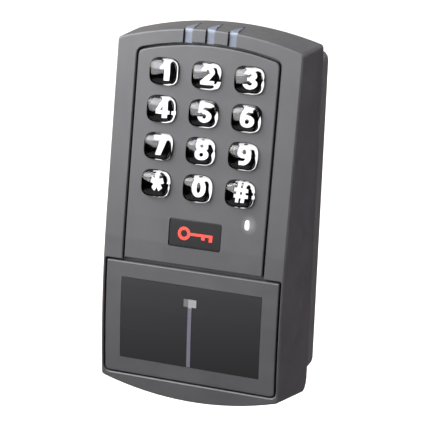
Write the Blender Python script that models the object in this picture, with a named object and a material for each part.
"""Keypad access reader: a wall-mounted card reader with a twelve-key pad.

Frame: metres, +Z up, -Y out of the wall. The origin is the centre of the base plate's back face,
so the wall is the plane y = 0. The front leans back above the middle and is a wide arc below it.
"""

import math

import bmesh
import bpy
from mathutils import Matrix, Vector

MM = 0.001

# Front surface: straight and leaning back above z = 0, an arc of FRONT_RADIUS below it.
FRONT_DEPTH = 36.3 * MM
FRONT_LEAN = math.radians(8.2)
FRONT_RADIUS = 300.0 * MM
FRONT_STRIP = 8.5 * MM
FRONT_STRIPS = 8

# Housing, a shell open at the back.
FRONT_HALF = 34.0 * MM
BACK_HALF = 34.93 * MM
TOP_CORNER = 61.2 * MM
TOP_SAG = 5.2 * MM
BOTTOM_CORNER = 61.6 * MM
BOTTOM_SAG = 5.5 * MM
HEEL_CORNER = 67.4 * MM
HEEL_APEX = 68.2 * MM
HEEL_ROUND = 4.0 * MM
SHELL_BACK = -7.0 * MM
WALL = 2.2 * MM
FACE_WALL = 2.4 * MM
EDGE_ROUND = 0.6 * MM
CORNER_ROUND = 1.4 * MM
CAVITY_HEEL = 62.0 * MM
CAVITY_HEEL_SAG = 0.4 * MM

# Keypad panel and the recess it lies in.
PANEL_HALF = 25.9 * MM
PANEL_BOTTOM = 15.8 * MM
PANEL_TOP = 57.3 * MM
PANEL_SAG = 3.6 * MM
PANEL_THICK = 2.0 * MM
PANEL_ROUND = 2.0 * MM
GAP = 0.65 * MM
LEDGE_HALF = 28.5 * MM
LEDGE_BOTTOM = 15.0 * MM
LEDGE_TOP = 59.2 * MM
LEDGE_SAG = 4.4 * MM
LEDGE_ROOT = 1.5 * MM
LEDGE_FRONT = 2.3 * MM
LEDGE_BACK = 4.0 * MM
WINDOW_HALF = 24.0 * MM
WINDOW_TOP = 55.0 * MM
WINDOW_SAG = 3.0 * MM
WINDOW_BOTTOM = 11.0 * MM
RIM_CHAMFER = 0.35 * MM
RIM_OVERSHOOT = 0.6 * MM
PLATE_EDGE = 0.4 * MM

# Lower cover, its label and its recess.
COVER_HALF = 32.4 * MM
COVER_TOP = 17.3 * MM
COVER_BOTTOM = 59.4 * MM
COVER_THICK = 2.2 * MM
COVER_ROUND = 1.6 * MM
COVER_LEDGE_HALF = 33.0 * MM
COVER_LEDGE_TOP = 13.0 * MM
COVER_LEDGE_BOTTOM = 60.5 * MM
COVER_LEDGE_ROOT = 1.6 * MM
COVER_LEDGE = 2.5 * MM
COVER_LEDGE_BACK = 4.4 * MM
COVER_PLUG_HALF = 27.0 * MM
COVER_PLUG_TOP = 22.6 * MM
COVER_PLUG_BOTTOM = 53.4 * MM
PLUG_ROOT = 1.5 * MM
PLUG_SHY = 0.2 * MM
PLUG_GAP = 0.5 * MM
LABEL_HALF = 26.4 * MM
LABEL_TOP = 23.0 * MM
LABEL_BOTTOM = 53.3 * MM
LABEL_RECESS = 0.35 * MM
LABEL_SLACK = 0.12 * MM
LABEL_SINK = 0.02 * MM
LABEL_LIFT = 0.04 * MM
MARK_HEAD_HALF = 2.38 * MM
MARK_BAR_HALF = 0.7 * MM
MARK_TOP = 27.7 * MM
MARK_NECK = 30.5 * MM
MARK_END_INSET = 0.1 * MM
MARK_THICK = 0.08 * MM

# Badge, status lens and light pipes.
BADGE_CENTRE = (0.2 * MM, -4.35 * MM)
BADGE_SIZE = (19.3 * MM, 9.7 * MM)
BADGE_SINK = 0.25 * MM
BADGE_THICK = 0.6 * MM
BADGE_ROUND = 0.8 * MM
BADGE_EDGE = 0.15 * MM
BADGE_SLACK = (0.15 * MM, 0.1 * MM)
LENS_CENTRE = (19.2 * MM, 1.5 * MM)
LENS_SIZE = (2.0 * MM, 3.5 * MM)
LENS_ROUND = 0.9 * MM
LENS_PROUD = 0.2 * MM
LENS_EDGE = 0.3 * MM
LENS_SLACK = 0.12 * MM
FLANGE_GROW = 0.7 * MM
FLANGE_FRONT = 2.2 * MM
FLANGE_OVERLAP = 0.4 * MM
FLANGE_BACK = 3.2 * MM
PIPE_PITCH = 8.14 * MM
PIPE_WIDTH = 2.9 * MM
PIPE_THICK = 1.0 * MM
PIPE_SINK = 1.1 * MM
PIPE_START = 61.45 * MM
PIPE_PROUD = 0.3 * MM
PIPE_BEND = 1.6 * MM
PIPE_BEND_STEPS = 4
PIPE_TAIL = 10.5 * MM
PIPE_TAIL_SINK = 0.55 * MM
PIPE_TAIL_STEPS = (0.15, 0.35, 0.7, 1.0)
PIPE_TAPER = 0.88
PIPE_TAPER_POWER = 0.6
PIPE_GAP = 0.2 * MM
PIPE_BED_GAP = 0.15 * MM
PIPE_CLEARANCE = 4.0 * MM
PIPE_PAD_HALF = 11.5 * MM
PIPE_PAD_FRONT = -26.5 * MM
PIPE_PAD_BACK = -20.0 * MM
PIPE_PAD_LOW = 63.2 * MM
PIPE_PAD_HIGH = 65.2 * MM
STEM_WIDTH = 2.4 * MM
STEM_HEIGHT = 1.6 * MM
STEM_END = -17.2 * MM
STEM_RISE = 0.15 * MM
STEM_ROOT = 0.5 * MM
STEM_HOLE_GAP = 0.2 * MM
STEM_HOLE_FRONT = 1.4 * MM
LED_HALF = 1.6 * MM
LED_FRONT = -16.9 * MM
LED_BELOW = 1.4 * MM
LED_ABOVE = 1.2 * MM

# Keys: a thick clear cap, printed on its back, on a black carrier. They stand in a grid on the
# leaning part of the front.
KEY_NAMES = ("1", "2", "3", "4", "5", "6", "7", "8", "9", "star", "0", "hash")
KEY_COLUMN = 15.63 * MM
KEY_ROW = 12.96 * MM
KEY_TOP_ROW = 50.77 * MM
KEY_HALF_X = 5.2 * MM
KEY_HALF_Z = 4.55 * MM
KEY_SQUARENESS = 3.4
KEY_SIDES = 20
KEY_HOLE_GAP = 0.38 * MM
CAP_FOOT = 3.1 * MM
CAP_RINGS = ((1.0, 0.95), (0.965, 1.6), (0.88, 2.15), (0.77, 2.38), (0.4, 2.66))
CAP_TOP = 2.75 * MM
CARRIER_FRONT = 3.15 * MM
CARRIER_BACK = 3.9 * MM
CARRIER_GROW = 0.9 * MM

# Keypad mat and board, parallel to the leaning panel; depths are measured from the panel's face.
MAT_DOME_TOP = 4.2 * MM
MAT_FRONT = 5.6 * MM
MAT_BACK = 6.6 * MM
MAT_HALF = 22.6 * MM
MAT_MARGIN = 6.6 * MM
DOME_RADIUS = (3.0 * MM, 4.0 * MM)
DOME_HOLLOW = (2.2 * MM, 3.0 * MM)
DOME_HOLLOW_TOP = 5.0 * MM
KEYBOARD_FRONT = 6.7 * MM
KEYBOARD_BACK = 8.3 * MM
KEYBOARD_GROW = 0.6 * MM
POST_RADIUS = 1.6 * MM
POST_PILOT = 0.7 * MM
POST_PILOT_TOP = 2.6 * MM
POST_HOLE_GAP = 0.3 * MM
SMALL_SHANK = 0.62 * MM
SMALL_HEAD = 1.5 * MM
SMALL_HEAD_HEIGHT = 1.0 * MM
SMALL_TIP = 3.2 * MM
HEAD_SEAT = 0.05 * MM

# Main board, parallel to the wall, on four posts of the housing.
BOARD_FRONT = -15.6 * MM
BOARD_BACK = -14.0 * MM
BOARD_HALF = 31.2 * MM
BOARD_TOP = 57.6 * MM
BOARD_SAG = 5.2 * MM
BOARD_BOTTOM = 52.0 * MM
BOSS_X = 29.0 * MM
BOSS_Z = 48.0 * MM
BOSS_RADIUS = 2.4 * MM
BOSS_PILOT = 0.95 * MM
BOSS_PILOT_DEPTH = 7.0 * MM
BOARD_SHANK = 0.85 * MM
BOARD_HEAD = 2.0 * MM
BOARD_HEAD_HEIGHT = 1.3 * MM
BOARD_SCREW_REACH = 6.5 * MM

# Components, as boxes (x from, x to, height from, height to, how far they stand off the board).
SEAT = 0.05 * MM
CHIP_BOX = (6.0, 16.0, 22.0, 32.0, 1.5)
RELAY_BOX = (-24.0, -9.0, -12.0, -4.0, 10.0)
CONNECTOR_BOX = (-12.0, 12.0, 7.5, 10.0, 10.6)
BUZZER_CENTRE = (18.0 * MM, -9.0 * MM)
BUZZER_RADIUS = 5.5 * MM
BUZZER_HEIGHT = 7.0 * MM
TERMINAL_BOX = (-16.0, 16.0, 8.0, 16.0, 6.2)
TERMINAL_COUNT = 8
TERMINAL_PITCH = 3.9 * MM
POCKET_HALF = 1.4 * MM
POCKET_DEPTH = (1.4 * MM, 4.0 * MM)
POCKET_TOP = 11.5 * MM
TERMINAL_SCREW_Z = 13.6 * MM
TERMINAL_SCREW_SINK = 4.6 * MM
TERMINAL_SCREW_RADIUS = 1.3 * MM
TAMPER_BOX = (18.0, 22.0, -47.0, -43.0, 2.2)

# Antenna of the card reader: a wound coil on a frame that stands on the main board.
ANTENNA_CENTRE = (0.0, -38.0 * MM)
COIL_OUTER = (25.0 * MM, 14.0 * MM)
COIL_INNER = (22.0 * MM, 11.0 * MM)
COIL_FRONT = -34.2 * MM
COIL_BACK = -32.4 * MM
FORMER_OUTER = (26.5 * MM, 15.0 * MM)
FORMER_INNER = (18.0 * MM, 8.0 * MM)
FORMER_FRONT = -32.3 * MM
FORMER_BACK = -31.0 * MM
ANTENNA_LEG = (24.0 * MM, 12.4 * MM)
ANTENNA_LEG_HALF = 1.3 * MM

# Base plate: a tray open to the front, with hinge hooks at the top and a screw tab at the bottom.
BASE_HALF = 34.9 * MM
BASE_BOTTOM = 61.5 * MM
BASE_TOP = 57.5 * MM
BASE_SAG = 4.4 * MM
BASE_ROUND = 3.4 * MM
BASE_LEAST_ROUND = 0.8 * MM
BASE_EDGE = 0.4 * MM
BASE_FRONT = -6.2 * MM
BASE_FLOOR = -2.6 * MM
BASE_WALL = 2.0 * MM
LIP_GAP = 2.75 * MM
LIP_FRONT = -9.0 * MM
LIP_TOP = 52.0 * MM
LIP_WALL = 1.4 * MM
GASKET_INSET = 3.0 * MM
GASKET_WIDTH = 2.6 * MM
GASKET_DEPTH = 1.0 * MM
GASKET_GAP = 0.1 * MM
GASKET_SHY = 0.02 * MM
CABLE_HALF = 12.0 * MM
CABLE_TOP = 12.0 * MM
CABLE_BOTTOM = 34.0 * MM
CABLE_ROUND = 3.0 * MM
SLOT_Z = 41.65 * MM
SLOT_HALF = (4.5 * MM, 2.5 * MM)
SLOT_ROUND = 2.4 * MM

# Hinge at the top: bars of the housing lie in hooks of the base plate.
HINGE_Y = -7.7 * MM
HINGE_Z = 59.3 * MM
BAR_RADIUS = 1.1 * MM
HOOK_GAP = 0.25 * MM
HOOK_X = (12.0 * MM, 18.0 * MM)
LUG_THICK = 1.6 * MM
LUG_GAP = 0.4 * MM
LUG_BACK = -8.0 * MM
LUG_FRONT = -11.0 * MM
LUG_DROP = 1.9 * MM
LUG_TOP = 64.0 * MM
HOOK_FRONT = -10.2 * MM
HOOK_TOP = 60.0 * MM
HOOK_FOOT = 54.5 * MM

# Security screw at the bottom, its nut and the tab between them.
SCREW_Y = -13.0 * MM
SCREW_SHANK = 1.5 * MM
SCREW_HEAD = 2.8 * MM
SCREW_HEAD_LOW = 67.9 * MM
SCREW_HEAD_HIGH = 66.3 * MM
SCREW_TIP = 54.5 * MM
TAB_HALF = 8.0 * MM
TAB_LOW = 60.2 * MM
TAB_HIGH = 58.6 * MM
TAB_FRONT = -16.5 * MM
TAB_SLOT_HALF = 2.1 * MM
COLLAR_RADIUS = 3.3 * MM
COLLAR_TOP = 60.9 * MM
COLLAR_ROOT = 66.5 * MM
SOCKET_FLATS = 1.25 * MM
SOCKET_DEPTH = 1.2 * MM
SCREW_CLEAR = 0.2 * MM
HEAD_CLEAR = 0.3 * MM
THREAD_CLEAR = 0.12 * MM
NUT_LOW = 58.3 * MM
NUT_HIGH = 55.9 * MM
NUT_FLATS = 5.5 * MM

ROUND_SIDES = 20


def clear_scene():
    for obj in list(bpy.data.objects):
        bpy.data.objects.remove(obj)


def material(name, colour, roughness, metallic=0.0, transmission=0.0):
    made = bpy.data.materials.get(name)
    if made is None:
        made = bpy.data.materials.new(name)
        made.use_nodes = True
        shader = made.node_tree.nodes["Principled BSDF"]
        shader.inputs["Base Color"].default_value = (*colour, 1.0)
        shader.inputs["Roughness"].default_value = roughness
        shader.inputs["Metallic"].default_value = metallic
        shader.inputs["Transmission Weight"].default_value = transmission
        made.diffuse_color = (*colour, 1.0)
    return made


FINISHES = {
    "housing_plastic": ((0.12, 0.12, 0.125), 0.5),
    "panel_plastic": ((0.13, 0.13, 0.14), 0.45),
    "cover_plastic": ((0.10, 0.10, 0.105), 0.5),
    "base_plastic": ((0.09, 0.09, 0.085), 0.55),
    "label_film": ((0.03, 0.03, 0.032), 0.35),
    "mark_ink": ((0.35, 0.35, 0.4), 0.5),
    "badge_plastic": ((0.04, 0.04, 0.04), 0.3),
    "pipe_acrylic": ((0.45, 0.52, 0.6), 0.2),
    "lens_acrylic": ((0.9, 0.9, 0.9), 0.2),
    "key_acrylic": ((0.6, 0.6, 0.62), 0.05),
    "key_black": ((0.01, 0.01, 0.01), 0.2),
    "mat_silicone": ((0.2, 0.2, 0.2), 0.7),
    "board_green": ((0.03, 0.18, 0.07), 0.5),
    "chip_black": ((0.02, 0.02, 0.02), 0.5),
    "relay_plastic": ((0.05, 0.12, 0.35), 0.4),
    "terminal_plastic": ((0.05, 0.3, 0.12), 0.45),
    "led_epoxy": ((0.85, 0.85, 0.8), 0.3),
    "former_plastic": ((0.5, 0.5, 0.48), 0.5),
    "gasket_foam": ((0.02, 0.02, 0.02), 0.9),
}
METALS = {
    "screw_steel": ((0.6, 0.6, 0.6), 0.3),
    "coil_copper": ((0.7, 0.35, 0.15), 0.35),
}


def finish(name):
    if name in METALS:
        return material(name, *METALS[name], metallic=1.0)
    return material(name, *FINISHES[name])


def add_object(name, bm, slot=None, matrix=None):
    """A mesh object from a bmesh. Without a slot it is a cutter or a shape to join: a hidden helper."""
    bmesh.ops.recalc_face_normals(bm, faces=bm.faces[:])
    mesh = bpy.data.meshes.new(name)
    bm.to_mesh(mesh)
    bm.free()
    obj = bpy.data.objects.new(name, mesh)
    bpy.context.scene.collection.objects.link(obj)
    if matrix is not None:
        obj.matrix_world = matrix
    if slot is None:
        obj.hide_render = True
        obj.display_type = "WIRE"
    else:
        mesh.materials.append(finish(slot))
        mesh.shade_smooth()
        mesh.set_sharp_from_angle(angle=math.radians(30))
    return obj


def combine(target, helper, operation="DIFFERENCE"):
    modifier = target.modifiers.new(helper.name, "BOOLEAN")
    modifier.operation = operation
    modifier.object = helper
    return target


def cut(target, name, bm, matrix=None):
    return combine(target, add_object(f"{target.name}.{name}", bm, matrix=matrix))


def join(target, name, bm, matrix=None):
    return combine(target, add_object(f"{target.name}.{name}", bm, matrix=matrix), "UNION")


def front_y(z):
    """The y of the front surface at height z."""
    if z >= 0:
        return -FRONT_DEPTH + z * math.tan(FRONT_LEAN)
    centre_z = -FRONT_RADIUS * math.sin(FRONT_LEAN)
    centre_y = -FRONT_DEPTH + FRONT_RADIUS * math.cos(FRONT_LEAN)
    return centre_y - math.sqrt(FRONT_RADIUS**2 - (z - centre_z) ** 2)


def depth(offset):
    """Places an outline point this far behind the front surface."""
    return lambda x, z: (x, front_y(z) + offset, z)


def plane(y):
    return lambda x, z: (x, y, z)


def arch(half, corner, sag, corner_round=0.0, steps=12, corner_steps=3):
    """Points of an arched edge from the right side over the middle to the left, as (x, height)."""
    if sag:
        radius = (half**2 + sag**2) / (2 * sag)
        centre = corner + sag - radius
        lift = math.sqrt((radius - corner_round) ** 2 - (half - corner_round) ** 2)
        side = centre + lift
        spread = math.atan2(half - corner_round, lift)
    else:
        side = corner - corner_round
        spread = 0.0
    right = []
    if corner_round:
        for i in range(corner_steps):
            turn = (math.pi / 2 - spread) * i / corner_steps
            right.append(
                (half - corner_round + corner_round * math.cos(turn), side + corner_round * math.sin(turn))
            )
    if sag:
        for i in range(steps // 2):
            turn = spread * (1 - 2 * i / steps)
            right.append((radius * math.sin(turn), centre + radius * math.cos(turn)))
    else:
        right.append((half - corner_round, corner))
    middle = [(0.0, corner + sag)] if sag else []
    return right + middle + [(-x, height) for x, height in reversed(right)]


def outline(half, bottom, top, bottom_sag=0.0, top_sag=0.0, bottom_round=0.0, top_round=0.0, steps=12):
    """A closed outline as (x, z). bottom is counted down from z = 0, top is counted up."""
    upper = arch(half, top, top_sag, top_round, steps)
    lower = arch(half, bottom, bottom_sag, bottom_round, steps)
    return upper + [(x, -height) for x, height in reversed(lower)]


def rectangle(centre, half, corner_round=0.0, corner_steps=3):
    """A rounded rectangle as (x, z)."""
    points = []
    for quarter, (sx, sz) in enumerate(((1, 1), (-1, 1), (-1, -1), (1, -1))):
        cx = centre[0] + sx * (half[0] - corner_round)
        cz = centre[1] + sz * (half[1] - corner_round)
        if not corner_round:
            points.append((cx, cz))
            continue
        for i in range(corner_steps + 1):
            turn = math.pi / 2 * (quarter + i / corner_steps)
            points.append((cx + corner_round * math.cos(turn), cz + corner_round * math.sin(turn)))
    return points


def superellipse(half_x, half_z, sides=KEY_SIDES, power=KEY_SQUARENESS):
    points = []
    for i in range(sides):
        turn = 2 * math.pi * (i + 0.5) / sides
        c, s = math.cos(turn), math.sin(turn)
        points.append(
            (
                half_x * math.copysign(abs(c) ** (2 / power), c),
                half_z * math.copysign(abs(s) ** (2 / power), s),
            )
        )
    return points


def cap_face(points, breaks):
    """A flat face on the outline, split at the heights where the front surface bends."""
    bm = bmesh.new()
    bm.faces.new([bm.verts.new((x, 0.0, z)) for x, z in points])
    for z in breaks:
        bmesh.ops.bisect_plane(
            bm, geom=bm.verts[:] + bm.edges[:] + bm.faces[:], plane_co=(0, 0, z), plane_no=(0, 0, 1)
        )
    return bm


def boundary_loop(bm):
    """The outline's vertices in order round the boundary."""
    start = next(edge for edge in bm.edges if edge.is_boundary)
    loop = [start.verts[0], start.verts[1]]
    used = {start}
    while True:
        step = next(e for e in loop[-1].link_edges if e.is_boundary and e not in used)
        used.add(step)
        after = step.other_vert(loop[-1])
        if after is loop[0]:
            return loop
        loop.append(after)


def outward(points):
    """The mitred outward direction at each point of a closed outline of Vectors (x, z)."""
    area = sum(a.x * b.y - b.x * a.y for a, b in zip(points, points[1:] + points[:1]))
    sign = 1.0 if area > 0 else -1.0
    found = []
    for i, here in enumerate(points):
        before = (here - points[i - 1]).normalized()
        after = (points[(i + 1) % len(points)] - here).normalized()
        first = Vector((before.y, -before.x)) * sign
        second = Vector((after.y, -after.x)) * sign
        mitre = (first + second).normalized()
        found.append(mitre / max(mitre.dot(first), 0.5))
    return found


def loft(points, stations, curved=True):
    """A closed solid through stations from front to back. Each station is (growth, place): the outline
    is grown by that much, and place puts each of its points in space."""
    low = min(z for _, z in points)
    high = max(z for _, z in points)
    heights = [-FRONT_STRIP * i for i in range(FRONT_STRIPS)] if curved else []
    flat = cap_face(points, [z for z in heights if low < z < high])
    loop = boundary_loop(flat)
    flat_points = [Vector((v.co.x, v.co.z)) for v in loop]
    directions = outward(flat_points)
    place_in_loop = {v: i for i, v in enumerate(loop)}
    faces = [[place_in_loop[v] for v in face.verts] for face in flat.faces]
    flat.free()
    bm = bmesh.new()
    rings = []
    for growth, place in stations:
        ring = [p + d * growth for p, d in zip(flat_points, directions)]
        rings.append([bm.verts.new(place(p.x, p.y)) for p in ring])
    for face in faces:
        bm.faces.new([rings[0][i] for i in face])
        bm.faces.new([rings[-1][i] for i in reversed(face)])
    count = len(loop)
    for front, back in zip(rings, rings[1:]):
        for i in range(count):
            j = (i + 1) % count
            bm.faces.new((front[i], front[j], back[j], back[i]))
    return bm


def rounded_front(radius, front=0.0):
    """Stations that round a plate's front edge."""
    return [
        (-radius, depth(front)),
        (-0.293 * radius, depth(front + 0.293 * radius)),
        (0.0, depth(front + radius)),
    ]


def plate(points, front, back, edge=0.0):
    """A plate that follows the front surface between two depths."""
    if edge:
        return loft(points, rounded_front(edge, front) + [(0.0, depth(back))])
    return loft(points, [(0.0, depth(front)), (0.0, depth(back))])


def slab(points, front, back):
    """A flat plate between two y planes."""
    return loft(points, [(0.0, plane(front)), (0.0, plane(back))], curved=False)


def box(low, high):
    bm = bmesh.new()
    bmesh.ops.create_cube(bm, size=1.0)
    for v in bm.verts:
        v.co = [(a + b) / 2 + c * (b - a) for a, b, c in zip(low, high, v.co)]
    return bm


def bar(start, end, radius, sides=ROUND_SIDES, end_radius=None):
    """A cylinder, cone or prism between two points."""
    start, end = Vector(start), Vector(end)
    axis = end - start
    bm = bmesh.new()
    bmesh.ops.create_cone(
        bm,
        cap_ends=True,
        segments=sides,
        radius1=radius,
        radius2=radius if end_radius is None else end_radius,
        depth=axis.length,
        matrix=Matrix.Translation((start + end) / 2) @ axis.to_track_quat("Z", "Y").to_matrix().to_4x4(),
    )
    return bm


def merged(shapes):
    """Several separate shapes in one bmesh, for one Boolean."""
    bm = bmesh.new()
    for shape in shapes:
        mesh = bpy.data.meshes.new("merged")
        shape.to_mesh(mesh)
        shape.free()
        bm.from_mesh(mesh)
        bpy.data.meshes.remove(mesh)
    return bm


def top_z(x):
    """The height of the housing's top edge at x."""
    radius = (FRONT_HALF**2 + TOP_SAG**2) / (2 * TOP_SAG)
    return TOP_CORNER + TOP_SAG - radius + math.sqrt(radius**2 - x**2)


def key_matrix(x, z):
    """The frame of a key: its origin on the panel's face, -Y out of the panel."""
    return Matrix.Translation((x, front_y(z), z)) @ Matrix.Rotation(-FRONT_LEAN, 4, "X")


def key_places():
    for i, name in enumerate(KEY_NAMES):
        yield name, KEY_COLUMN * (i % 3 - 1), KEY_TOP_ROW - KEY_ROW * (i // 3)


def post_places():
    """The four screw posts between the keys, as (x, z)."""
    for row in (0.5, 2.5):
        for side in (-0.5, 0.5):
            yield side * KEY_COLUMN, KEY_TOP_ROW - KEY_ROW * row


def boss_places():
    for sz in (1, -1):
        for sx in (-1, 1):
            yield sx * BOSS_X, sz * BOSS_Z


def ribbon(stations):
    """A strip across x through stations (outer point, inner point, half width), both points as (y, z)."""
    bm = bmesh.new()
    rings = []
    for x, (outer, inner, half) in stations:
        rings.append(
            [
                bm.verts.new((x + side * half, *point))
                for side, point in ((-1, outer), (1, outer), (1, inner), (-1, inner))
            ]
        )
    bm.faces.new(rings[0])
    bm.faces.new(rings[-1][::-1])
    for first, second in zip(rings, rings[1:]):
        for i in range(4):
            j = (i + 1) % 4
            bm.faces.new((first[i], first[j], second[j], second[i]))
    return bm


def pipe_stations(x, outer_grow=0.0, inner_grow=0.0, side_grow=0.0):
    """A light pipe's path up the front, round the top edge and back along the top, where it narrows and
    sinks into the top. Yields stations for ribbon()."""
    start_z = PIPE_START + top_z(x) - top_z(0.0)
    bend_z = top_z(x) + PIPE_PROUD - PIPE_BEND
    bend_y = front_y(bend_z) + PIPE_SINK + PIPE_BEND
    path = [((front_y(start_z) + PIPE_SINK, start_z), (-1.0, 0.0), 1.0)]
    for i in range(PIPE_BEND_STEPS + 1):
        turn = math.pi / 2 * i / PIPE_BEND_STEPS
        normal = (-math.cos(turn), math.sin(turn))
        path.append(((bend_y + PIPE_BEND * normal[0], bend_z + PIPE_BEND * normal[1]), normal, 1.0))
    for along in PIPE_TAIL_STEPS:
        point = (bend_y + PIPE_TAIL * along, bend_z + PIPE_BEND - PIPE_TAIL_SINK * along**3)
        path.append((point, (0.0, 1.0), 1.0 - PIPE_TAPER * along**PIPE_TAPER_POWER))
    for (y, z), (ny, nz), width in path:
        reach = PIPE_THICK + inner_grow
        outer = (y + ny * outer_grow, z + nz * outer_grow)
        inner = (y - ny * reach, z - nz * reach)
        yield x, (outer, inner, PIPE_WIDTH / 2 * width + side_grow)


def pipe_stem(x, grow, front, back):
    low = PIPE_START + top_z(x) - top_z(0.0) + STEM_RISE - grow
    half = STEM_WIDTH / 2 + grow
    return box((x - half, front, low), (x + half, back, low + STEM_HEIGHT + 2 * grow))


def shell_back(heel_corner, heel_apex, front_corner, front_apex, half_scale):
    """Widens the outline to the back and lowers its bottom edge to the heel."""

    def placed(x, z, y, lift=0.0):
        if z < -front_corner:
            share = (-z - front_corner) / (front_apex - front_corner)
            z = -(heel_corner + (heel_apex - heel_corner) * share) + lift
        return (x * half_scale, y, z)

    return placed


def make_front_housing():
    body = outline(
        FRONT_HALF, BOTTOM_CORNER, TOP_CORNER, BOTTOM_SAG, TOP_SAG, CORNER_ROUND, CORNER_ROUND, steps=16
    )
    knee = max(-z for x, z in body if math.isclose(abs(x), FRONT_HALF, rel_tol=1e-6))
    placed = shell_back(HEEL_CORNER, HEEL_APEX, knee, BOTTOM_CORNER + BOTTOM_SAG, BACK_HALF / FRONT_HALF)
    stations = rounded_front(EDGE_ROUND)
    for i in range(4):
        turn = math.pi / 2 * i / 3
        y = SHELL_BACK - HEEL_ROUND * (1 - math.sin(turn))
        lift = HEEL_ROUND * (1 - math.cos(turn))
        stations.append((0.0, lambda x, z, y=y, lift=lift: placed(x, z, y, lift)))
    shell = add_object("front_housing", loft(body, stations), "housing_plastic")

    inner_half = FRONT_HALF - WALL
    hollow = outline(inner_half, BOTTOM_CORNER - WALL, TOP_CORNER - WALL, BOTTOM_SAG, TOP_SAG, steps=16)
    inner = shell_back(
        CAVITY_HEEL,
        CAVITY_HEEL + CAVITY_HEEL_SAG,
        BOTTOM_CORNER - WALL,
        BOTTOM_CORNER - WALL + BOTTOM_SAG,
        (BACK_HALF - WALL) / inner_half,
    )
    cut(
        shell,
        "cavity",
        loft(hollow, [(0.0, depth(FACE_WALL)), (0.0, lambda x, z: inner(x, z, SHELL_BACK + 1.0 * MM))]),
    )

    join(
        shell,
        "keypad_ledge",
        plate(outline(LEDGE_HALF, LEDGE_BOTTOM, LEDGE_TOP, top_sag=LEDGE_SAG), LEDGE_ROOT, LEDGE_BACK),
    )
    join(
        shell,
        "cover_ledge",
        plate(
            outline(COVER_LEDGE_HALF, COVER_LEDGE_BOTTOM, -COVER_LEDGE_TOP),
            COVER_LEDGE_ROOT,
            COVER_LEDGE_BACK,
        ),
    )
    join(
        shell,
        "pipe_pad",
        box(
            (-PIPE_PAD_HALF, PIPE_PAD_FRONT, PIPE_PAD_LOW),
            (PIPE_PAD_HALF, PIPE_PAD_BACK, PIPE_PAD_HIGH),
        ),
    )
    for i, (x, z) in enumerate(boss_places()):
        start = front_y(z) + 1.9 * MM
        join(shell, f"boss_{i}", bar((x, start, z), (x, BOARD_FRONT - 0.1 * MM, z), BOSS_RADIUS, 16))
    join(
        shell,
        "collar",
        bar((0, SCREW_Y, -COLLAR_ROOT), (0, SCREW_Y, -COLLAR_TOP), COLLAR_RADIUS),
    )
    for side in (-1, 1):
        near, far = (side * (HOOK_X[0] - LUG_GAP), side * (HOOK_X[1] + LUG_GAP))
        for name, x0, x1 in (("near", near - side * LUG_THICK, near), ("far", far, far + side * LUG_THICK)):
            low, high = min(x0, x1), max(x0, x1)
            join(
                shell,
                f"lug_{name}_{side}",
                box((low, LUG_FRONT, HINGE_Z - LUG_DROP), (high, LUG_BACK, LUG_TOP)),
            )
        ends = (near - side * LUG_THICK / 2, far + side * LUG_THICK / 2)
        join(
            shell,
            f"hinge_bar_{side}",
            bar((ends[0], HINGE_Y, HINGE_Z), (ends[1], HINGE_Y, HINGE_Z), BAR_RADIUS, 12),
        )

    flare = [(RIM_CHAMFER + RIM_OVERSHOOT, depth(-RIM_OVERSHOOT)), (0.0, depth(RIM_CHAMFER))]
    cut(
        shell,
        "keypad_recess",
        loft(
            outline(
                PANEL_HALF + GAP,
                PANEL_BOTTOM + 2 * GAP,
                PANEL_TOP + GAP,
                top_sag=PANEL_SAG,
                top_round=PANEL_ROUND + GAP,
            ),
            flare + [(0.0, depth(LEDGE_FRONT))],
        ),
    )
    cut(
        shell,
        "cover_recess",
        loft(
            outline(
                COVER_HALF + GAP,
                COVER_BOTTOM + GAP,
                GAP - COVER_TOP,
                bottom_round=COVER_ROUND + GAP,
                top_round=0.8 * MM,
            ),
            flare + [(0.0, depth(COVER_LEDGE))],
        ),
    )
    cut(
        shell,
        "keypad_window",
        plate(outline(WINDOW_HALF, WINDOW_BOTTOM, WINDOW_TOP, top_sag=WINDOW_SAG), 1.0 * MM, 6.0 * MM),
    )
    cut(
        shell,
        "cover_window",
        plate(
            outline(COVER_PLUG_HALF + PLUG_GAP, COVER_PLUG_BOTTOM + PLUG_GAP, PLUG_GAP - COVER_PLUG_TOP),
            1.0 * MM,
            7.0 * MM,
        ),
    )
    for i in (-1, 0, 1):
        x = i * PIPE_PITCH
        cut(
            shell,
            f"pipe_groove_{i + 2}",
            ribbon(pipe_stations(x, PIPE_CLEARANCE, PIPE_BED_GAP, PIPE_GAP)),
        )
        cut(
            shell,
            f"stem_hole_{i + 2}",
            pipe_stem(x, STEM_HOLE_GAP, front_y(PIPE_START) + STEM_HOLE_FRONT, PIPE_PAD_BACK),
        )
    pilots = []
    for x, z in boss_places():
        pilots.append(bar((x, BOARD_FRONT - BOSS_PILOT_DEPTH, z), (x, BOARD_BACK, z), BOSS_PILOT, 10))
    cut(shell, "boss_pilots", merged(pilots))
    below = -HEEL_APEX - MM
    cut(
        shell,
        "screw_hole",
        bar((0, SCREW_Y, below), (0, SCREW_Y, MM - COLLAR_TOP), SCREW_SHANK + SCREW_CLEAR),
    )
    cut(
        shell,
        "screw_counterbore",
        bar((0, SCREW_Y, below), (0, SCREW_Y, 0.1 * MM - SCREW_HEAD_HIGH), SCREW_HEAD + HEAD_CLEAR),
    )
    return shell


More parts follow.
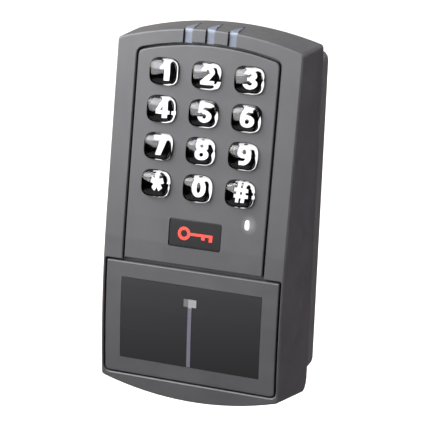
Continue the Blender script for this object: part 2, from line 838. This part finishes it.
def make_keypad_panel():
    shape = outline(PANEL_HALF, PANEL_BOTTOM, PANEL_TOP, top_sag=PANEL_SAG, top_round=PANEL_ROUND, steps=16)
    panel = add_object("keypad_panel", plate(shape, 0.0, PANEL_THICK, edge=PLATE_EDGE), "panel_plastic")
    posts, pilots = [], []
    for x, z in post_places():
        post = bar((0, PANEL_THICK - 0.5 * MM, 0), (0, KEYBOARD_FRONT - 0.1 * MM, 0), POST_RADIUS, 12)
        pilot = bar((0, POST_PILOT_TOP, 0), (0, KEYBOARD_FRONT + 0.3 * MM, 0), POST_PILOT, 8)
        for shape in (post, pilot):
            shape.transform(key_matrix(x, z))
        posts.append(post)
        pilots.append(pilot)
    join(panel, "posts", merged(posts))
    holes = []
    for _, x, z in key_places():
        points = superellipse(KEY_HALF_X + KEY_HOLE_GAP, KEY_HALF_Z + KEY_HOLE_GAP)
        hole = slab(points, -1.0 * MM, PANEL_THICK + 1.0 * MM)
        hole.transform(key_matrix(x, z))
        holes.append(hole)
    cut(panel, "key_holes", merged(holes))
    cut(panel, "post_pilots", merged(pilots))
    side_slack, back_slack = BADGE_SLACK
    half = [side / 2 + side_slack for side in BADGE_SIZE]
    recess = rectangle(BADGE_CENTRE, half, BADGE_ROUND + side_slack)
    cut(panel, "badge_recess", plate(recess, -MM, BADGE_SINK + BADGE_THICK + back_slack))
    cut(panel, "lens_hole", plate(lens_outline(LENS_SLACK), -MM, PANEL_THICK + MM))
    return panel


def lens_outline(grow=0.0):
    half = [side / 2 + grow for side in LENS_SIZE]
    return rectangle(LENS_CENTRE, half, LENS_ROUND + grow)


def make_badge_and_lens():
    half = [side / 2 for side in BADGE_SIZE]
    back = BADGE_SINK + BADGE_THICK
    add_object(
        "badge_plate",
        plate(rectangle(BADGE_CENTRE, half, BADGE_ROUND), BADGE_SINK, back, edge=BADGE_EDGE),
        "badge_plastic",
    )
    stem = plate(lens_outline(), -LENS_PROUD, FLANGE_FRONT + FLANGE_OVERLAP, edge=LENS_EDGE)
    lens = add_object("status_lens", stem, "lens_acrylic")
    join(lens, "flange", plate(lens_outline(FLANGE_GROW), FLANGE_FRONT, FLANGE_BACK))


def make_lower_cover():
    shape = outline(COVER_HALF, COVER_BOTTOM, -COVER_TOP, bottom_round=COVER_ROUND, top_round=0.5 * MM)
    cover = add_object("lower_cover", plate(shape, 0.0, COVER_THICK, edge=PLATE_EDGE), "cover_plastic")
    plug = outline(COVER_PLUG_HALF, COVER_PLUG_BOTTOM, -COVER_PLUG_TOP)
    join(cover, "plug", plate(plug, PLUG_ROOT, COVER_LEDGE_BACK - PLUG_SHY))
    recess = outline(LABEL_HALF + LABEL_SLACK, LABEL_BOTTOM + LABEL_SLACK, LABEL_SLACK - LABEL_TOP)
    cut(cover, "label_recess", plate(recess, -MM, LABEL_RECESS))
    label = outline(LABEL_HALF, LABEL_BOTTOM, -LABEL_TOP)
    add_object("reader_label", plate(label, LABEL_SINK, LABEL_RECESS - LABEL_LIFT), "label_film")
    bar_end = MARK_END_INSET - LABEL_BOTTOM
    mark = [
        (MARK_HEAD_HALF, -MARK_TOP),
        (-MARK_HEAD_HALF, -MARK_TOP),
        (-MARK_HEAD_HALF, -MARK_NECK),
        (-MARK_BAR_HALF, -MARK_NECK),
        (-MARK_BAR_HALF, bar_end),
        (MARK_BAR_HALF, bar_end),
        (MARK_BAR_HALF, -MARK_NECK),
        (MARK_HEAD_HALF, -MARK_NECK),
    ]
    add_object("target_mark", plate(mark, -MARK_THICK, 0.0), "mark_ink")


def make_light_pipes():
    for i in (-1, 0, 1):
        x = i * PIPE_PITCH
        pipe = add_object(f"light_pipe_{i + 2}", ribbon(pipe_stations(x)), "pipe_acrylic")
        join(pipe, "stem", pipe_stem(x, 0.0, front_y(PIPE_START) + PIPE_SINK + STEM_ROOT, STEM_END))
        z = PIPE_START + top_z(x) - top_z(0.0)
        low = (x - LED_HALF, LED_FRONT, z - LED_BELOW)
        high = (x + LED_HALF, BOARD_FRONT - SEAT, z + LED_ABOVE)
        add_object(f"led_{i + 2}", box(low, high), "led_epoxy")


def key_cap():
    """The clear cap: a rounded square block that ends in a dome, in rings up to its crown."""
    outer = superellipse(KEY_HALF_X, KEY_HALF_Z)
    bm = bmesh.new()
    rings = [[bm.verts.new((x, CAP_FOOT, z)) for x, z in outer]]
    for share, height in CAP_RINGS:
        rings.append([bm.verts.new((x * share, -height * MM, z * share)) for x, z in outer])
    bm.faces.new(rings[0])
    for low, high in zip(rings, rings[1:]):
        for i in range(KEY_SIDES):
            j = (i + 1) % KEY_SIDES
            bm.faces.new((low[i], low[j], high[j], high[i]))
    crown = bm.verts.new((0.0, -CAP_TOP, 0.0))
    for i in range(KEY_SIDES):
        bm.faces.new((rings[-1][i], rings[-1][(i + 1) % KEY_SIDES], crown))
    return bm


def key_carrier():
    """The black plate under the cap, wider than the panel's opening, so that it holds the key in."""
    shape = superellipse(KEY_HALF_X + CARRIER_GROW, KEY_HALF_Z + CARRIER_GROW)
    return slab(shape, CARRIER_FRONT, CARRIER_BACK)


def make_keys():
    for name, x, z in key_places():
        add_object(f"key_cap_{name}", key_cap(), "key_acrylic", key_matrix(x, z))
        add_object(f"key_carrier_{name}", key_carrier(), "key_black", key_matrix(x, z))


def in_key_frame(x, z):
    """A point of the panel in the frame of the pad's middle, as (x, z)."""
    return x, (z - pad_middle()) / math.cos(FRONT_LEAN)


def pad_middle():
    return KEY_TOP_ROW - 1.5 * KEY_ROW


def make_mat_and_keyboard():
    frame = key_matrix(0.0, pad_middle())
    reach = 1.5 * KEY_ROW / math.cos(FRONT_LEAN) + MAT_MARGIN
    sheet = rectangle((0.0, 0.0), (MAT_HALF, reach), 2.0 * MM)
    mat = add_object("keypad_mat", slab(sheet, MAT_FRONT, MAT_BACK), "mat_silicone", frame)
    domes, hollows = [], []
    for _, key_x, key_z in key_places():
        x, z = in_key_frame(key_x, key_z)
        foot = MAT_FRONT + 0.5 * MM
        domes.append(bar((x, MAT_DOME_TOP, z), (x, foot, z), DOME_RADIUS[0], 12, DOME_RADIUS[1]))
        mouth = MAT_BACK + 0.4 * MM
        hollows.append(bar((x, DOME_HOLLOW_TOP, z), (x, mouth, z), DOME_HOLLOW[0], 10, DOME_HOLLOW[1]))
    join(mat, "domes", merged(domes), frame)
    cut(mat, "hollows", merged(hollows), frame)
    post_holes, screw_holes = [], []
    places = [in_key_frame(x, z) for x, z in post_places()]
    for x, z in places:
        start, end = (x, MAT_FRONT - MM, z), (x, KEYBOARD_BACK + MM, z)
        post_holes.append(bar(start, end, POST_RADIUS + POST_HOLE_GAP, 12))
        screw_holes.append(bar(start, end, SMALL_SHANK + 0.25 * MM, 10))
    cut(mat, "post_holes", merged(post_holes), frame)

    board_half = (MAT_HALF + KEYBOARD_GROW, reach + KEYBOARD_GROW)
    board_shape = rectangle((0.0, 0.0), board_half, 1.5 * MM)
    board = add_object("keypad_pcb", slab(board_shape, KEYBOARD_FRONT, KEYBOARD_BACK), "board_green", frame)
    cut(board, "screw_holes", merged(screw_holes), frame)
    seat = KEYBOARD_BACK + HEAD_SEAT
    for i, (x, z) in enumerate(places):
        head = bar((x, seat, z), (x, seat + SMALL_HEAD_HEIGHT, z), SMALL_HEAD, 12)
        screw = add_object(f"keypad_screw_{i + 1}", head, "screw_steel", frame)
        shank = bar((x, SMALL_TIP, z), (x, seat + SMALL_HEAD_HEIGHT / 2, z), SMALL_SHANK, 8)
        join(screw, "shank", shank, frame)


def component(name, extent, slot, back=False):
    """A part on the main board: a box with this extent in millimetres, on the board's front or back."""
    left, right, low, high, reach = (value * MM for value in extent)
    if back:
        near, far = BOARD_BACK + SEAT, BOARD_BACK + SEAT + reach
    else:
        near, far = BOARD_FRONT - SEAT - reach, BOARD_FRONT - SEAT
    return add_object(name, box((left, near, low), (right, far, high)), slot)


def make_main_board():
    shape = outline(BOARD_HALF, BOARD_BOTTOM, BOARD_TOP, top_sag=BOARD_SAG, bottom_round=1.5 * MM)
    board = add_object("main_pcb", slab(shape, BOARD_FRONT, BOARD_BACK), "board_green")
    holes = []
    for x, z in boss_places():
        holes.append(bar((x, BOARD_FRONT - MM, z), (x, BOARD_BACK + MM, z), BOARD_SHANK + 0.3 * MM, 12))
    cut(board, "screw_holes", merged(holes))
    seat = BOARD_BACK + HEAD_SEAT
    for i, (x, z) in enumerate(boss_places()):
        head = bar((x, seat, z), (x, seat + BOARD_HEAD_HEIGHT, z), BOARD_HEAD, 14)
        screw = add_object(f"board_screw_{i + 1}", head, "screw_steel")
        start, end = (x, BOARD_FRONT - BOARD_SCREW_REACH, z), (x, seat + BOARD_HEAD_HEIGHT / 2, z)
        join(screw, "shank", bar(start, end, BOARD_SHANK, 8))

    component("microcontroller", CHIP_BOX, "chip_black")
    component("relay", RELAY_BOX, "relay_plastic")
    component("board_connector", CONNECTOR_BOX, "chip_black")
    component("tamper_sensor", TAMPER_BOX, "chip_black", back=True)
    x, z = BUZZER_CENTRE
    rest = BOARD_FRONT - SEAT
    add_object("buzzer", bar((x, rest - BUZZER_HEIGHT, z), (x, rest, z), BUZZER_RADIUS), "chip_black")
    make_terminals()


def make_terminals():
    """The wiring terminals on the back of the board: a wire pocket below and a screw pocket behind each."""
    block = component("terminal_block", TERMINAL_BOX, "terminal_plastic", back=True)
    back = BOARD_BACK + SEAT
    bottom, reach = TERMINAL_BOX[2] * MM, TERMINAL_BOX[4] * MM
    z = TERMINAL_SCREW_Z
    pockets = []
    for i in range(TERMINAL_COUNT):
        x = (i - (TERMINAL_COUNT - 1) / 2) * TERMINAL_PITCH
        near, far = (back + deep for deep in POCKET_DEPTH)
        pockets.append(box((x - POCKET_HALF, near, bottom - MM), (x + POCKET_HALF, far, POCKET_TOP)))
        start, end = (x, back + TERMINAL_SCREW_SINK, z), (x, back + reach + MM, z)
        pockets.append(bar(start, end, TERMINAL_SCREW_RADIUS, 8))
    cut(block, "pockets", merged(pockets))


def ring(outer, inner, front, back, name, slot):
    """A frame: the outer outline less the inner one, between two planes."""
    made = add_object(name, slab(outer, front, back), slot)
    return cut(made, "inside", slab(inner, front - MM, back + MM))


def make_antenna():
    ring(
        rectangle(ANTENNA_CENTRE, COIL_OUTER, 4.0 * MM),
        rectangle(ANTENNA_CENTRE, COIL_INNER, 2.0 * MM),
        COIL_FRONT,
        COIL_BACK,
        "antenna_coil",
        "coil_copper",
    )
    former = ring(
        rectangle(ANTENNA_CENTRE, FORMER_OUTER, 3.0 * MM),
        rectangle(ANTENNA_CENTRE, FORMER_INNER, 2.0 * MM),
        FORMER_FRONT,
        FORMER_BACK,
        "antenna_former",
        "former_plastic",
    )
    legs = []
    half = ANTENNA_LEG_HALF
    for sx in (-1, 1):
        for sz in (-1, 1):
            x, z = sx * ANTENNA_LEG[0], ANTENNA_CENTRE[1] + sz * ANTENNA_LEG[1]
            low = (x - half, FORMER_BACK - 0.6 * MM, z - half)
            legs.append(box(low, (x + half, BOARD_FRONT - SEAT, z + half)))
    join(former, "legs", merged(legs))


def base_outline(inset=0.0):
    return outline(
        BASE_HALF - inset,
        BASE_BOTTOM - inset,
        BASE_TOP - inset,
        top_sag=BASE_SAG,
        bottom_round=max(BASE_ROUND - inset, BASE_LEAST_ROUND),
        top_round=max(BASE_ROUND - inset, BASE_LEAST_ROUND),
        steps=16,
    )


def make_base_plate():
    base = add_object(
        "base_plate",
        loft(
            base_outline(),
            [(-BASE_EDGE, plane(BASE_FRONT)), (0.0, plane(BASE_FRONT + BASE_EDGE)), (0.0, plane(0.0))],
            curved=False,
        ),
        "base_plastic",
    )
    cut(base, "tray", slab(base_outline(BASE_WALL), BASE_FRONT - MM, BASE_FLOOR))
    middle_z = (LIP_TOP - BASE_BOTTOM) / 2
    lip_half = (BASE_HALF - LIP_GAP, (LIP_TOP + BASE_BOTTOM) / 2 - 0.9 * MM)
    lip = add_object(
        "base_plate.lip", slab(rectangle((0.0, middle_z), lip_half), LIP_FRONT, BASE_FLOOR + 0.8 * MM)
    )
    inside_half = (lip_half[0] - LIP_WALL, (LIP_TOP + BASE_BOTTOM) / 2 + 1.7 * MM)
    inside = rectangle((0.0, middle_z + 4 * MM), inside_half)
    cut(lip, "inside", slab(inside, LIP_FRONT - MM, BASE_FLOOR + 2 * MM))
    combine(base, lip, "UNION")
    for side in (-1, 1):
        low, high = sorted((side * HOOK_X[0], side * HOOK_X[1]))
        join(base, f"hook_{side}", box((low, HOOK_FRONT, HOOK_FOOT), (high, BASE_FLOOR + MM, HOOK_TOP)))
        bed = BAR_RADIUS + HOOK_GAP
        left, right = low - MM, high + MM
        corner = bed / math.cos(math.pi / 16)
        cut(base, f"hook_bed_{side}", bar((left, HINGE_Y, HINGE_Z), (right, HINGE_Y, HINGE_Z), corner, 16))
        mouth = box((left, HINGE_Y - bed, HINGE_Z), (right, HINGE_Y + bed, HOOK_TOP + MM))
        cut(base, f"hook_mouth_{side}", mouth)
    join(base, "tab", box((-TAB_HALF, TAB_FRONT, -TAB_LOW), (TAB_HALF, BASE_FLOOR + MM, -TAB_HIGH)))
    cut(
        base,
        "tab_slot",
        box((-TAB_SLOT_HALF, TAB_FRONT - MM, -TAB_LOW - MM), (TAB_SLOT_HALF, SCREW_Y, MM - TAB_HIGH)),
    )
    cut(
        base,
        "tab_slot_end",
        bar((0, SCREW_Y, -TAB_LOW - MM), (0, SCREW_Y, MM - TAB_HIGH), TAB_SLOT_HALF),
    )
    middle = (0.0, -(CABLE_TOP + CABLE_BOTTOM) / 2)
    cable = rectangle(middle, (CABLE_HALF, (CABLE_BOTTOM - CABLE_TOP) / 2), CABLE_ROUND)
    cut(base, "cable_entry", slab(cable, BASE_FLOOR - MM, MM))
    slots = []
    for z in (-SLOT_Z, SLOT_Z):
        slots.append(slab(rectangle((0.0, z), SLOT_HALF, SLOT_ROUND), BASE_FLOOR - MM, MM))
    cut(base, "wall_screw_slots", merged(slots))
    groove = add_object("base_plate.gasket_groove", slab(base_outline(GASKET_INSET), -GASKET_DEPTH, MM))
    cut(groove, "island", slab(base_outline(GASKET_INSET + GASKET_WIDTH), -2 * MM, 2 * MM))
    combine(base, groove)


def make_wall_gasket():
    ring(
        base_outline(GASKET_INSET + GASKET_GAP),
        base_outline(GASKET_INSET + GASKET_WIDTH - GASKET_GAP),
        GASKET_GAP - GASKET_DEPTH,
        -GASKET_SHY,
        "wall_gasket",
        "gasket_foam",
    )


def make_security_screw():
    head = bar((0, SCREW_Y, -SCREW_HEAD_LOW), (0, SCREW_Y, -SCREW_HEAD_HIGH), SCREW_HEAD)
    screw = add_object("security_screw", head, "screw_steel")
    join(
        screw,
        "shank",
        bar((0, SCREW_Y, -SCREW_HEAD_HIGH - 0.4 * MM), (0, SCREW_Y, -SCREW_TIP), SCREW_SHANK, 16),
    )
    cut(
        screw,
        "socket",
        bar(
            (0, SCREW_Y, -SCREW_HEAD_LOW - MM),
            (0, SCREW_Y, SOCKET_DEPTH - SCREW_HEAD_LOW),
            SOCKET_FLATS,
            6,
        ),
    )
    across = NUT_FLATS / 2 / math.cos(math.pi / 6)
    nut = add_object(
        "security_nut", bar((0, SCREW_Y, -NUT_LOW), (0, SCREW_Y, -NUT_HIGH), across, 6), "screw_steel"
    )
    start, end = (0, SCREW_Y, -NUT_LOW - MM), (0, SCREW_Y, MM - NUT_HIGH)
    cut(nut, "bore", bar(start, end, SCREW_SHANK + THREAD_CLEAR, 16))


def main():
    clear_scene()
    make_front_housing()
    make_keypad_panel()
    make_badge_and_lens()
    make_lower_cover()
    make_light_pipes()
    make_keys()
    make_mat_and_keyboard()
    make_main_board()
    make_antenna()
    make_base_plate()
    make_wall_gasket()
    make_security_screw()


main()
